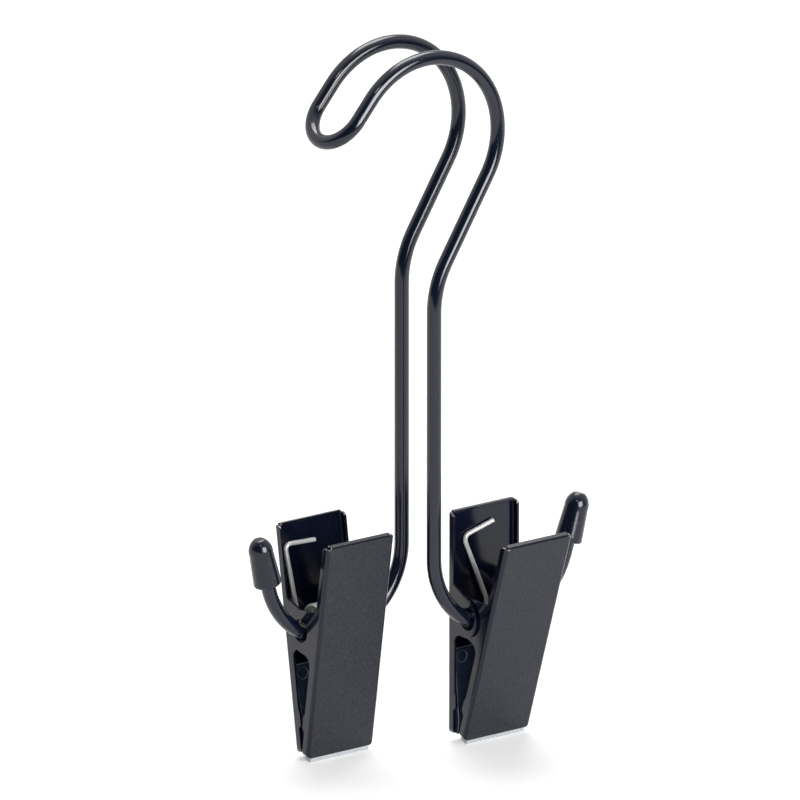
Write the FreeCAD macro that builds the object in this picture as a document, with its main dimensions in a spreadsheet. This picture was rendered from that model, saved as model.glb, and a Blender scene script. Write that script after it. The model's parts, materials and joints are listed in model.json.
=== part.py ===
import FreeCAD, Part

import math
import os
import re

import Sketcher

# Clothes hanger with two spring clips on one folded wire hook.
# The origin is the hook's seat: the inner top of the crook, midway between the two strands of wire.
# +X points to the right clip, +Y to the rear strand and +Z up.

SIZES = {
    # The hook: one wire, its rear strand ending at the left clip and its front strand at the right one.
    "wire_diameter": 4.6,
    "strand_spacing": 20.8,
    "crook_radius": 27.2,
    "crook_end_angle": 140.0,
    "nose_length": 7.5,
    "slant_angle": 31.5,
    "rear_slant_length": 25.2,
    "front_slant_length": 30.0,
    "stem_bend_radius": 30.4,
    "cradle_drop": 136.1,
    "cradle_radius": 25.7,
    "left_end_lean": 13.0,
    "right_end_lean": 17.0,
    # The soft caps on the wire's two ends.
    "cap_length": 15.7,
    "cap_mouth_diameter": 8.8,
    "cap_shoulder_diameter": 7.6,
    "cap_shoulder_height": 11.0,
    "cap_dome_radius": 5.0,
    "cap_tip_diameter": 3.4,
    "cap_mouth_round": 0.7,
    "cap_bore_depth": 12.4,
    "cap_bore_clearance": 0.05,
    "cap_end_gap": 0.3,
    "left_cap_standoff": 1.4,
    "right_cap_standoff": 3.8,
    # The plates of the clips.
    "plate_width": 25.4,
    "plate_above_axis": 33.1,
    "plate_below_axis": 40.25,
    "plate_to_axis": 10.2,
    "plate_lean": 9.1,
    "left_swing": 0.0,
    "right_swing": 9.1,
    "sheet_thickness": 0.8,
    "bend_inner_radius": 0.4,
    "ear_side_clearance": 0.15,
    "axis_above_wire": 0.45,
    "lip_depth": 2.0,
    "lip_bend_radius": 0.7,
    "lip_setback": 1.3,
    "upper_flange": 3.0,
    "flange_notch": 0.75,
    "flange_corner": 1.6,
    "lower_flange": 3.6,
    "tab_flange": 4.2,
    "tab_below_axis": 26.0,
    "tab_height": 5.0,
    "tab_slope": 1.2,
    "foot_flange": 3.0,
    "foot_round": 1.2,
    "panel_corner": 1.8,
    "ear_web_height": 9.5,
    "front_ear_radius": 6.9,
    "front_ear_setback": 0.0,
    "rear_ear_radius": 6.5,
    "rear_ear_setback": 1.6,
    "window_round": 3.0,
    "wire_hole_radius": 3.7,
    "cut_overrun": 1.0,
    # The clear pads in the jaws.
    "pad_side_gap": 0.5,
    "pad_below_axis": 12.2,
    "pad_tip_thickness": 1.2,
    "pad_swell_below_axis": 27.0,
    "pad_swell_thickness": 2.6,
    "jaw_height": 4.5,
    "jaw_gap": 0.2,
    "pad_lip_height": 1.6,
    "pad_lip_inset": 0.3,
    "pad_lip_end_inset": 0.3,
    "rear_pad_rise": 0.2,
    "mark_diameter": 3.8,
    "mark_depth": 0.3,
    "mark_to_side": 2.7,
    "mark_below_pad_top": 3.0,
    # The springs.
    "spring_wire": 1.5,
    "coil_wire_clearance": 0.25,
    "coil_pitch": 2.2,
    "leg_corner_radius": 2.0,
    "leg_foot_rise": 4.0,
    "leg_end_length": 11.4,
    "leg_clearance": 0.05,
    "left_coil_to_side": 4.1,
    "left_leg_shift": -1.5,
    "left_leg_corner_below_top": 7.05,
    "left_leg_end_rise": -0.5,
    "right_coil_to_side": 11.9,
    "right_leg_shift": -7.5,
    "right_leg_corner_below_top": 9.15,
    "right_leg_end_rise": 3.2,
}
COIL_TURNS = 3

# What counts as the same place, direction and volume: within so many mm, so many degrees and such a share.
SAME_PLACE = 0.00001
SAME_WAY_ANGLE = 2.5
SAME_VOLUME_SHARE = 0.01
# Points of a spring nearer to each other along it than this many of its wire's diameters aren't a gap.
NEIGHBOUR_DIAMETERS = 3

# Places that several pieces share, as expressions of the sizes.
CROOK_HEIGHT = "(wire_diameter / 2 - crook_radius)"
STEM_SHIFT = "crook_radius * cos(slant_angle) - stem_bend_radius * (1 - cos(slant_angle))"
REAR_STEM = f"({STEM_SHIFT} - rear_slant_length * sin(slant_angle))"
FRONT_STEM = f"({STEM_SHIFT} - front_slant_length * sin(slant_angle))"
CRADLE_HEIGHT = f"({CROOK_HEIGHT} - cradle_drop)"
EAR_HALF_SPAN = "((plate_width - sheet_thickness) / 2)"
EAR_DROP = f"sqrt(cradle_radius ^ 2 - {EAR_HALF_SPAN} ^ 2)"
AXIS_HEIGHT = f"({CRADLE_HEIGHT} - {EAR_DROP} + axis_above_wire)"
COIL_RADIUS = (f"(cradle_radius - {EAR_DROP} + axis_above_wire + wire_diameter / 2"
               " + coil_wire_clearance + spring_wire / 2)")
PLATE_SHIFT = "((sheet_thickness + ear_side_clearance) / 2)"
INNER_FACE = "(sheet_thickness - plate_to_axis)"

# Where each clip hangs: its hinge point, its swing and the side to which its front plate is shifted.
CLIPS = {
    "left": (f"{REAR_STEM} - cradle_radius", "strand_spacing / 2", "left_swing", -1),
    "right": (f"{FRONT_STEM} + cradle_radius", "-strand_spacing / 2", "right_swing", 1),
}

doc = FreeCAD.newDocument("hanger")
sheet = doc.addObject("Spreadsheet::Sheet", "Sizes")
for row, (alias, value) in enumerate(SIZES.items(), start=1):
    sheet.set(f"A{row}", alias)
    sheet.set(f"B{row}", str(value))
    sheet.setAlias(f"B{row}", alias)
doc.recompute()

pieces = []


def size(text):
    """The value of an expression of the sizes."""
    return float(sheet.evalExpression(text))


def bound(text):
    """The same expression as an object outside the sheet writes it."""
    return re.sub(r"[a-z]\w*", lambda word: f"Sizes.{word[0]}" if word[0] in SIZES else word[0], text)


def bind(feature, **expressions):
    """Ties properties of a feature to expressions of the sizes."""
    for name, text in expressions.items():
        feature.setExpression(name, bound(text))


def vector(x, y, z):
    return FreeCAD.Vector(x, y, z)


def new_body(label):
    body = doc.addObject("PartDesign::Body", label)
    body.Label = label
    pieces.append(body)
    return body


def new_sketch(body, role, name, height=None):
    """A sketch on one of the body's own origin planes, lifted by an expression where one is given."""
    sketch = body.newObject("Sketcher::SketchObject", f"{body.Name}_{name}")
    plane = [feature for feature in body.Origin.OriginFeatures if feature.Role == role][0]
    sketch.AttachmentSupport = [(plane, "")]
    sketch.MapMode = "FlatFace"
    if height:
        sketch.setExpression("AttachmentOffset.Base.z", bound(height))
    return sketch


def pin(sketch, edge, end, place):
    """Fixes one end of an edge at a pair of expressions, measured from the sketch's origin."""
    for kind, axis, text in (("DistanceX", -2, place[0]), ("DistanceY", -1, place[1])):
        value = size(text)
        if value == 0:
            sketch.addConstraint(Sketcher.Constraint("PointOnObject", edge, end, axis))
            continue
        index = sketch.addConstraint(Sketcher.Constraint(kind, -1, 1, edge, end, value))
        sketch.setExpression(f"Constraints[{index}]", bound(text))


def outline(sketch, corners, arcs=None):
    """Draws a closed outline.

    Each corner is a pair of expressions. A corner that is a key of arcs starts an arc, given as its radius,
    its centre and the way it turns: 1 against the clock and -1 with it. The other edges are straight.
    """
    arcs = arcs or {}
    spots = [vector(size(x), size(y), 0) for x, y in corners]
    ends = []
    for number, start in enumerate(spots):
        finish = spots[(number + 1) % len(spots)]
        if number not in arcs:
            edge = sketch.addGeometry(Part.LineSegment(start, finish), False)
            ends.append((edge, 1, 2))
            continue
        radius, centre, turn = arcs[number]
        middle = vector(size(centre[0]), size(centre[1]), 0)
        first, last = (start, finish) if turn > 0 else (finish, start)
        angles = [math.atan2(spot.y - middle.y, spot.x - middle.x) for spot in (first, last)]
        circle = Part.Circle(middle, vector(0, 0, 1), size(radius))
        edge = sketch.addGeometry(Part.ArcOfCircle(circle, *angles), False)
        ends.append((edge, 1, 2) if turn > 0 else (edge, 2, 1))
    for number, (edge, start, finish) in enumerate(ends):
        following, following_start, _ = ends[(number + 1) % len(ends)]
        sketch.addConstraint(Sketcher.Constraint("Coincident", edge, finish, following, following_start))
        pin(sketch, edge, start, corners[number])
    for number, (radius, _, _) in arcs.items():
        index = sketch.addConstraint(Sketcher.Constraint("Radius", ends[number][0], size(radius)))
        sketch.setExpression(f"Constraints[{index}]", bound(radius))


def pad(body, sketch, name, length, both_ways=False):
    feature = body.newObject("PartDesign::Pad", f"{body.Name}_{name}")
    feature.Profile = sketch
    feature.SideType = "Symmetric" if both_ways else "One side"
    bind(feature, Length=length)
    doc.recompute()
    return feature


def cut_through(body, sketch, name):
    """Cuts a sketch right through the body, both ways, and makes sure that something went."""
    before = body.Shape.Volume
    feature = body.newObject("PartDesign::Pocket", f"{body.Name}_{name}")
    feature.Profile = sketch
    feature.SideType = "Symmetric"
    feature.Type = "ThroughAll"
    doc.recompute()
    if body.Shape.Volume >= before:
        raise RuntimeError(f"{feature.Name} cuts nothing")
    return feature


def round_edges(body, name, radius, wanted):
    """Fillets those edges of the body's tip that the test picks by their middle points."""
    base = body.Tip
    names = []
    for number, edge in enumerate(base.Shape.Edges, start=1):
        middle = edge.valueAt((edge.FirstParameter + edge.LastParameter) / 2)
        if wanted(edge, middle):
            names.append(f"Edge{number}")
    if not names:
        raise RuntimeError(f"{body.Label} has no edge for {name}")
    feature = body.newObject("PartDesign::Fillet", f"{body.Name}_{name}")
    feature.Base = (base, names)
    bind(feature, Radius=radius)
    doc.recompute()


def near(value, text):
    return abs(value - size(text)) < SAME_PLACE


def along(edge, direction):
    if edge.Curve.TypeId != "Part::GeomLine":
        return False
    return abs(edge.tangentAt(edge.FirstParameter).dot(direction)) > math.cos(math.radians(SAME_WAY_ANGLE))


def clip_place(clip, lean="0", shift="0", turned=False):
    """Where a piece of a clip goes: its hinge point, moved along the axis, with its swing and its lean."""
    x, y, swing, _ = CLIPS[clip]
    axis_point = vector(size(f"{x} + {shift}"), size(y), size(AXIS_HEIGHT))
    tilt = FreeCAD.Rotation(vector(1, 0, 0), size(f"{swing} + {lean}"))
    half_turn = FreeCAD.Rotation(vector(0, 0, 1), 180 if turned else 0)
    return FreeCAD.Placement(axis_point, tilt.multiply(half_turn))


def wire_path():
    """The wire's centre line from the left cap to the right one: straight runs and tangent arcs."""
    half = size("strand_spacing / 2")
    crook, cradle = size("crook_radius"), size("cradle_radius")
    crook_height, cradle_height = size(CROOK_HEIGHT), size(CRADLE_HEIGHT)
    slant, nose_angle = math.radians(size("slant_angle")), math.radians(size("crook_end_angle"))
    bend = size("stem_bend_radius")

    def strand(side, stem_text, slant_length, lean_text, standoff):
        """One strand from the nose to its cap. Side is -1 for the rear strand, whose cradle opens to -X."""
        y = -side * half
        stem = size(stem_text)
        lean = math.radians(size(lean_text))
        cradle_x = stem + side * cradle
        knee = vector(crook * math.cos(slant), y, crook_height - crook * math.sin(slant))
        bend_top = knee + vector(-math.sin(slant), 0, -math.cos(slant)) * slant_length
        bend_centre = bend_top + vector(-math.cos(slant), 0, math.sin(slant)) * -bend
        bend_end = bend_centre + vector(-bend, 0, 0)
        bend_middle = bend_centre + vector(-math.cos(slant / 2), 0, math.sin(slant / 2)) * bend
        nose_top = vector(crook * math.cos(nose_angle), y, crook_height + crook * math.sin(nose_angle))
        crook_top = vector(0, y, crook_height + crook)
        nose_way = vector(-math.sin(nose_angle), 0, math.cos(nose_angle))
        nose_end = nose_top + nose_way * size("nose_length")
        cradle_centre = vector(cradle_x, y, cradle_height)
        cradle_start = cradle_centre + vector(-side, 0, 0) * cradle
        cradle_low = cradle_centre + vector(0, 0, -1) * cradle
        cradle_end = cradle_centre + vector(side * math.cos(lean), 0, -math.sin(lean)) * cradle
        tail = size(f"{standoff} + cap_bore_depth - cap_end_gap")
        tip = cradle_end + vector(side * math.sin(lean), 0, math.cos(lean)) * tail
        edges = [
            Part.LineSegment(nose_end, nose_top),
            Part.Arc(nose_top, crook_top, knee),
            Part.LineSegment(knee, bend_top),
            Part.Arc(bend_top, bend_middle, bend_end),
            Part.LineSegment(bend_end, cradle_start),
            Part.Arc(cradle_start, cradle_low, cradle_end),
            Part.LineSegment(cradle_end, tip),
        ]
        return edges, nose_end, nose_way

    rear, rear_nose, nose_way = strand(
        -1, REAR_STEM, size("rear_slant_length"), "left_end_lean", "left_cap_standoff")
    front, front_nose, _ = strand(
        1, FRONT_STEM, size("front_slant_length"), "right_end_lean", "right_cap_standoff")
    nose_tip = (rear_nose + front_nose) * 0.5 + nose_way * half
    turn = Part.Arc(rear_nose, nose_tip, front_nose)
    return Part.Wire([edge.toShape() for edge in rear[::-1] + [turn] + front])


def tube(path, diameter):
    """A round wire swept along a path, measured against its section times its length."""
    start = path.OrderedVertexes[0].Point
    first = path.OrderedEdges[0]
    way = first.tangentAt(first.FirstParameter)
    if first.Orientation == "Reversed":
        way = first.tangentAt(first.LastParameter)
    section = Part.Wire([Part.Circle(start, way, diameter / 2).toShape()])
    solid = path.makePipeShell([section], True, False)
    expected = math.pi * diameter ** 2 / 4 * path.Length
    print(f"tube of {path.Length:.1f} mm: volume {solid.Volume:.1f}, section times length {expected:.1f}")
    if abs(solid.Volume / expected - 1) > SAME_VOLUME_SHARE:
        raise RuntimeError("a swept wire has the wrong volume")
    return solid


def free_piece(label, shape, placement=None):
    feature = doc.addObject("Part::Feature", label)
    feature.Label = label
    feature.Shape = shape
    feature.Placement = placement or FreeCAD.Placement()
    pieces.append(feature)


def hook_wire():
    free_piece("hook_wire", tube(wire_path(), size("wire_diameter")))


def end_cap(clip, lean, stem, side):
    """A cap turned about its own axis: mouth at the bottom, tapered wall and domed, flat-tipped top."""
    body = new_body(f"{clip}_end_cap")
    bore = "(wire_diameter / 2 + cap_bore_clearance)"
    mouth, shoulder, tip = "(cap_mouth_diameter / 2)", "(cap_shoulder_diameter / 2)", "(cap_tip_diameter / 2)"
    half_chord = f"(sqrt(({shoulder} - {tip}) ^ 2 + (cap_length - cap_shoulder_height) ^ 2) / 2)"
    across_way = f"(cap_length - cap_shoulder_height) / (2 * {half_chord})"
    up_way = f"({shoulder} - {tip}) / (2 * {half_chord})"
    sink = f"sqrt(cap_dome_radius ^ 2 - {half_chord} ^ 2)"
    dome_centre = (f"({shoulder} + {tip}) / 2 - {across_way} * {sink}",
                   f"(cap_length + cap_shoulder_height) / 2 - {up_way} * {sink}")
    corners = [
        (bore, "0"),
        (f"{mouth} - cap_mouth_round", "0"),
        (mouth, "cap_mouth_round"),
        (shoulder, "cap_shoulder_height"),
        (tip, "cap_length"),
        ("0", "cap_length"),
        ("0", "cap_bore_depth"),
        (bore, "cap_bore_depth"),
    ]
    arcs = {
        1: ("cap_mouth_round", (f"{mouth} - cap_mouth_round", "cap_mouth_round"), 1),
        3: ("cap_dome_radius", dome_centre, 1),
    }
    sketch = new_sketch(body, "XZ_Plane", "profile")
    outline(sketch, corners, arcs)
    turned = body.newObject("PartDesign::Revolution", f"{body.Name}_turned")
    turned.Profile = sketch
    turned.ReferenceAxis = (sketch, ["V_Axis"])
    turned.Angle = 360
    doc.recompute()
    angle = math.radians(size(lean))
    reach = size("cradle_radius")
    x = size(stem) + side * (reach + reach * math.cos(angle))
    z = size(CRADLE_HEIGHT) - reach * math.sin(angle)
    way = vector(side * math.sin(angle), 0, math.cos(angle))
    mouth_place = vector(x, -side * size("strand_spacing / 2"), z) + way * size(f"{clip}_cap_standoff")
    body.Placement = FreeCAD.Placement(mouth_place, FreeCAD.Rotation(vector(0, 0, 1), way))


def flange_cut(end):
    """What is cut from the side flanges: the corners and arcs of everything beyond their inner edge.

    An ear starts at the flange with a straight run, tangent to its round end.
    """
    radius, setback = f"{end}_ear_radius", f"{end}_ear_setback"
    upper, lower = "(upper_flange - plate_to_axis)", "(lower_flange - plate_to_axis)"
    tab, foot = "(tab_flange - plate_to_axis)", "(foot_flange - plate_to_axis)"
    top, far = "(plate_above_axis + cut_overrun)", f"({radius} + cut_overrun)"
    shoulder, bottom = "(plate_above_axis - flange_notch)", "(-plate_below_axis - cut_overrun)"
    reach = f"(-{upper} - {setback})"
    touch = f"(atan(ear_web_height / {reach}) + acos({radius} / sqrt({reach} ^ 2 + ear_web_height ^ 2)))"
    window = f"({lower} + window_round)"
    corners = [
        (f"{upper} - flange_corner", top),
        (f"{upper} - flange_corner", shoulder),
        (upper, f"{shoulder} - flange_corner"),
        (upper, "ear_web_height"),
        (f"-{setback} - {radius} * cos({touch})", f"{radius} * sin({touch})"),
        (f"-{setback}", f"-{radius}"),
        (window, f"-{radius}"),
        (lower, f"-{radius} - window_round"),
        (lower, "-tab_below_axis"),
        (tab, "-tab_below_axis - tab_slope"),
        (tab, "-tab_below_axis - tab_height"),
        (foot, "-tab_below_axis - tab_height - tab_slope"),
        (foot, "foot_round - plate_below_axis"),
        (f"{foot} - foot_round", "-plate_below_axis"),
        (f"{foot} - foot_round", bottom),
        (far, bottom),
        (far, top),
    ]
    arcs = {
        1: ("flange_corner", (f"{upper} - flange_corner", f"{shoulder} - flange_corner"), -1),
        4: (radius, (f"-{setback}", "0"), -1),
        6: ("window_round", (window, f"-{radius} - window_round"), 1),
        12: ("foot_round", (f"{foot} - foot_round", "foot_round - plate_below_axis"), -1),
    }
    return corners, arcs


def plate(clip, end):
    """One pressed plate: a channel with a folded lip at the top and two ears with a hole for the wire.

    Its own frame has the hinge along X, the panel on the -Y side and the top towards +Z.
    """
    front = end == "front"
    body = new_body(f"{clip}_{end}_plate")
    half, inner_half = "(plate_width / 2)", "(plate_width / 2 - sheet_thickness)"
    ear_reach = f"{end}_ear_radius"
    section = new_sketch(body, "XY_Plane", "section", "-plate_below_axis")
    outline(section, [
        (f"-{half}", "-plate_to_axis"),
        (half, "-plate_to_axis"),
        (half, ear_reach),
        (inner_half, ear_reach),
        (inner_half, INNER_FACE),
        (f"-{inner_half}", INNER_FACE),
        (f"-{inner_half}", ear_reach),
        (f"-{half}", ear_reach),
    ])
    pad(body, section, "channel", "plate_above_axis + plate_below_axis")
    upright = vector(0, 0, 1)
    round_edges(body, "outer_bend", "bend_inner_radius + sheet_thickness",
                lambda edge, middle: along(edge, upright) and near(middle.y, "-plate_to_axis"))
    round_edges(body, "inner_bend", "bend_inner_radius",
                lambda edge, middle: along(edge, upright) and near(middle.y, INNER_FACE))

    sides = new_sketch(body, "YZ_Plane", "flange_edge")
    outline(sides, *flange_cut(end))
    cut_through(body, sides, "flanges")

    hole = new_sketch(body, "YZ_Plane", "wire_hole_circle")
    ring = hole.addGeometry(Part.Circle(vector(0, 0, 0), upright, size("wire_hole_radius")), False)
    hole.addConstraint(Sketcher.Constraint("Coincident", ring, 3, -1, 1))
    index = hole.addConstraint(Sketcher.Constraint("Radius", ring, size("wire_hole_radius")))
    hole.setExpression(f"Constraints[{index}]", bound("wire_hole_radius"))
    cut_through(body, hole, "wire_hole")

    lip = new_sketch(body, "YZ_Plane", "lip_section")
    outline(lip, [
        ("-plate_to_axis", "plate_above_axis - sheet_thickness"),
        ("lip_depth - plate_to_axis", "plate_above_axis - sheet_thickness"),
        ("lip_depth - plate_to_axis", "plate_above_axis"),
        ("-plate_to_axis", "plate_above_axis"),
    ])
    pad(body, lip, "lip", "plate_width - 2 * lip_setback", both_ways=True)
    notches = new_sketch(body, "XZ_Plane", "lip_notches")
    for way in (1, -1):
        outer, inner = f"{way} * ({half} + cut_overrun)", f"{way} * ({half} - lip_setback)"
        outline(notches, [
            (inner, "plate_above_axis + cut_overrun"),
            (inner, "plate_above_axis - flange_notch"),
            (outer, "plate_above_axis - flange_notch"),
            (outer, "plate_above_axis + cut_overrun"),
        ])
    cut_through(body, notches, "lip_relief")
    sideways = vector(1, 0, 0)
    round_edges(body, "lip_bend", "lip_bend_radius",
                lambda edge, middle: along(edge, sideways) and near(middle.y, "-plate_to_axis")
                and near(middle.z, "plate_above_axis"))

    corners = new_sketch(body, "XZ_Plane", "foot_corners")
    for way, turn in ((1, -1), (-1, 1)):
        outer, inner = f"{way} * ({half} + cut_overrun)", f"{way} * ({half} - panel_corner)"
        low, start = "(-plate_below_axis - cut_overrun)", "(panel_corner - plate_below_axis)"
        outline(corners, [
            (inner, "-plate_below_axis"),
            (inner, low),
            (outer, low),
            (outer, start),
            (f"{way} * {half}", start),
        ], {4: ("panel_corner", (inner, start), turn)})
    cut_through(body, corners, "foot_rounding")

    _, _, _, front_side = CLIPS[clip]
    shift = f"{front_side if front else -front_side} * {PLATE_SHIFT}"
    lean = "plate_lean" if front else "-plate_lean"
    body.Placement = clip_place(clip, lean, shift, turned=not front)


def jaw_pad(clip, end):
    """A clear pad on a plate's inner face, swelling to the jaw. The front one wraps under its plate."""
    front = end == "front"
    body = new_body(f"{clip}_{end}_pad")
    jaw_top = "(jaw_height - plate_below_axis)"
    foot = "(-plate_below_axis - pad_lip_height)" if front else "(rear_pad_rise - plate_below_axis)"

    def parting(height):
        """How far the jaw's face lies from the hinge at a height: half a gap short of the middle plane."""
        return f"({height} * tan(plate_lean) - jaw_gap / 2)"

    profile = [
        (INNER_FACE, "-pad_below_axis"),
        (INNER_FACE, "-plate_below_axis" if front else foot),
        (parting(foot), foot),
        (parting(jaw_top), jaw_top),
        (f"{INNER_FACE} + pad_swell_thickness", "-pad_swell_below_axis"),
        (f"{INNER_FACE} + pad_tip_thickness", "-pad_below_axis"),
    ]
    if front:
        outer = "(pad_lip_inset - plate_to_axis)"
        profile[2:2] = [(outer, "-plate_below_axis"), (outer, foot)]
    sketch = new_sketch(body, "YZ_Plane", "profile")
    outline(sketch, profile)
    pad_half = "(plate_width / 2 - sheet_thickness - pad_side_gap)"
    pad(body, sketch, "block", f"2 * {pad_half}", both_ways=True)
    if front:
        ends = new_sketch(body, "XZ_Plane", "lip_ends")
        for way in (1, -1):
            outer, inner = f"{way} * ({pad_half} + cut_overrun)", f"{way} * ({pad_half} - pad_lip_end_inset)"
            outline(ends, [
                (outer, "-plate_below_axis"),
                (inner, "-plate_below_axis"),
                (inner, f"{foot} - cut_overrun"),
                (outer, f"{foot} - cut_overrun"),
            ])
        cut_through(body, ends, "lip_shortening")

    mark_below = "(pad_below_axis + mark_below_pad_top)"
    swell_share = f"(({mark_below} - pad_below_axis) / (pad_swell_below_axis - pad_below_axis))"
    face = f"({INNER_FACE} + pad_tip_thickness + (pad_swell_thickness - pad_tip_thickness) * {swell_share})"
    for way, name in ((1, "right_mark"), (-1, "left_mark")):
        before = body.Shape.Volume
        mark = body.newObject("PartDesign::SubtractiveCylinder", f"{body.Name}_{name}")
        bind(mark, Radius="mark_diameter / 2", Height="mark_depth + cut_overrun")
        spot = vector(way * size(f"{pad_half} - mark_to_side"), size(f"{face} - mark_depth"),
                      -size(mark_below))
        mark.Placement = FreeCAD.Placement(spot, FreeCAD.Rotation(vector(1, 0, 0), -90))
        doc.recompute()
        if body.Shape.Volume >= before:
            raise RuntimeError(f"{mark.Name} cuts nothing")

    _, _, _, front_side = CLIPS[clip]
    shift = f"{front_side if front else -front_side} * {PLATE_SHIFT}"
    lean = "plate_lean" if front else "-plate_lean"
    body.Placement = clip_place(clip, lean, shift, turned=not front)


def biarc(start, start_way, finish, finish_way):
    """Two arcs that join two points and keep the direction at each."""
    chord = finish - start
    ways = start_way + finish_way
    spread = 2 * (1 - start_way.dot(finish_way))
    reach = (math.sqrt(chord.dot(ways) ** 2 + spread * chord.dot(chord)) - chord.dot(ways)) / spread
    start_arm, finish_arm = start + start_way * reach, finish - finish_way * reach
    joint = (start_arm + finish_arm) * 0.5

    def arc(one, arm, other):
        """The arc between two points whose tangents meet at the arm's end."""
        middle = (one + other) * 0.5
        half_chord = (other - one).Length / 2
        rise_share = half_chord / (half_chord + (arm - one).Length)
        return Part.Arc(one, middle + (arm - middle) * rise_share, other)

    return [arc(start, start_arm, joint), arc(joint, finish_arm, finish)]


def rounded(start, corner, finish, radius):
    """Two straight runs with an arc between them: the trimmed first run, the arc and where the arc ends."""
    back, ahead = (start - corner).normalize(), (finish - corner).normalize()
    half_angle = back.getAngle(ahead) / 2
    trim = radius / math.tan(half_angle)
    into, out = corner + back * trim, corner + ahead * trim
    centre = corner + (back + ahead).normalize() * (radius / math.sin(half_angle))
    middle = centre + (corner - centre).normalize() * radius
    return Part.LineSegment(start, into), Part.Arc(into, middle, out), out


def spring_leg(clip, x, side):
    """A leg in the clip's frame, from its free end to where it meets the coil, and the angle there.

    Side is 1 for the leg on the rear plate and -1 for the one on the front plate. The leg comes down from its
    corner tangent to the coil.
    """
    lean, coil, rise = math.radians(size("plate_lean")), size(COIL_RADIUS), size("leg_foot_rise")
    wall = -size(INNER_FACE) - size("spring_wire / 2 + leg_clearance")
    corner_height = size(f"plate_above_axis - {clip}_leg_corner_below_top")
    shift = size(f"{clip}_leg_shift")

    def spot(out, up, along_axis=0):
        """A point given in the plate's own directions: out from the hinge, up and along it."""
        return vector(x + along_axis, side * (out * math.cos(lean) + up * math.sin(lean)),
                      up * math.cos(lean) - out * math.sin(lean))

    touch = math.atan2(corner_height, wall) - math.acos(coil / math.hypot(wall, corner_height))
    out, up = math.cos(touch), math.sin(touch)
    coil_start = spot(coil * out, coil * up)
    leg_foot = spot(coil * out - rise * up, coil * up + rise * out)
    coil_way = vector(0, side * coil_start.z, -side * coil_start.y).normalize()
    tip = spot(wall, corner_height + size(f"{clip}_leg_end_rise"), shift + size("leg_end_length"))
    run, corner, leg_top = rounded(tip, spot(wall, corner_height, shift), leg_foot, size("leg_corner_radius"))
    edges = [run, corner, Part.LineSegment(leg_top, leg_foot)]
    edges += biarc(leg_foot, (leg_foot - leg_top).normalize(), coil_start, coil_way)
    return edges, math.atan2(coil_start.z, side * coil_start.y)


def self_gap(path, diameter):
    """The least gap of a wire to itself, between points that aren't neighbours along it."""
    step = diameter / 2
    points = path.discretize(Distance=step)
    apart = math.ceil(NEIGHBOUR_DIAMETERS * diameter / step)
    nearest = min((one - other).Length for place, one in enumerate(points)
                  for other in points[place + apart:])
    return nearest - diameter


def spring(clip):
    """A torsion spring wound round the wire, one unbroken tube with a leg along each plate."""
    wire, coil, pitch = size("spring_wire"), size(COIL_RADIUS), size("coil_pitch")
    rear_x = size(f"{clip}_coil_to_side - plate_width / 2")
    rear_leg, angle = spring_leg(clip, rear_x, 1)
    turn = 2 * math.pi * COIL_TURNS + math.pi + 2 * angle
    front_x = rear_x + pitch * turn / (2 * math.pi)
    count = math.ceil(turn / (math.pi / 2))
    knots = []
    for number in range(count + 1):
        share = number / count
        now = angle - turn * share
        climb = 0 if number in (0, count) else pitch / (2 * math.pi * coil)
        place = vector(rear_x + (front_x - rear_x) * share, coil * math.cos(now), coil * math.sin(now))
        knots.append((place, vector(climb, math.sin(now), -math.cos(now)).normalize()))
    coils = []
    for (start, start_way), (finish, finish_way) in zip(knots, knots[1:]):
        coils += biarc(start, start_way, finish, finish_way)
    front_leg, _ = spring_leg(clip, front_x, -1)
    runs = rear_leg + coils + front_leg[::-1]
    path = Part.Wire([run.toShape() for run in runs])
    tightest = min(edge.Curve.Radius for edge in path.Edges if edge.Curve.TypeId == "Part::GeomCircle")
    print(f"{clip}_spring: tightest bend {tightest:.2f} mm")
    print(f"{clip}_spring: least gap to itself {self_gap(path, wire):.2f} mm")
    free_piece(f"{clip}_spring", tube(path, wire), clip_place(clip))


def check_and_write():
    """Stops at any failed object or bad shape, then writes one file for each piece."""
    doc.recompute()
    for feature in doc.Objects:
        if "Invalid" in feature.State or "Error" in feature.State:
            raise RuntimeError(f"{feature.Name} is {feature.State}")
    os.makedirs("parts", exist_ok=True)
    for piece in pieces:
        shape = piece.Shape
        if shape.isNull() or not shape.isValid() or len(shape.Solids) != 1:
            raise RuntimeError(f"{piece.Label} has a bad shape")
    for piece in pieces:
        piece.Shape.exportStep(f"parts/{piece.Label}.step")
        box = piece.Shape.BoundBox
        print(f"{piece.Label}: {piece.Shape.Volume:.1f} mm3, {box}")


hook_wire()
end_cap("left", "left_end_lean", REAR_STEM, -1)
end_cap("right", "right_end_lean", FRONT_STEM, 1)
for clip_name in CLIPS:
    for end_name in ("rear", "front"):
        plate(clip_name, end_name)
        jaw_pad(clip_name, end_name)
    spring(clip_name)
check_and_write()
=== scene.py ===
import json
import math

import bmesh
import bpy
from mathutils import Matrix, Quaternion, Vector


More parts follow.
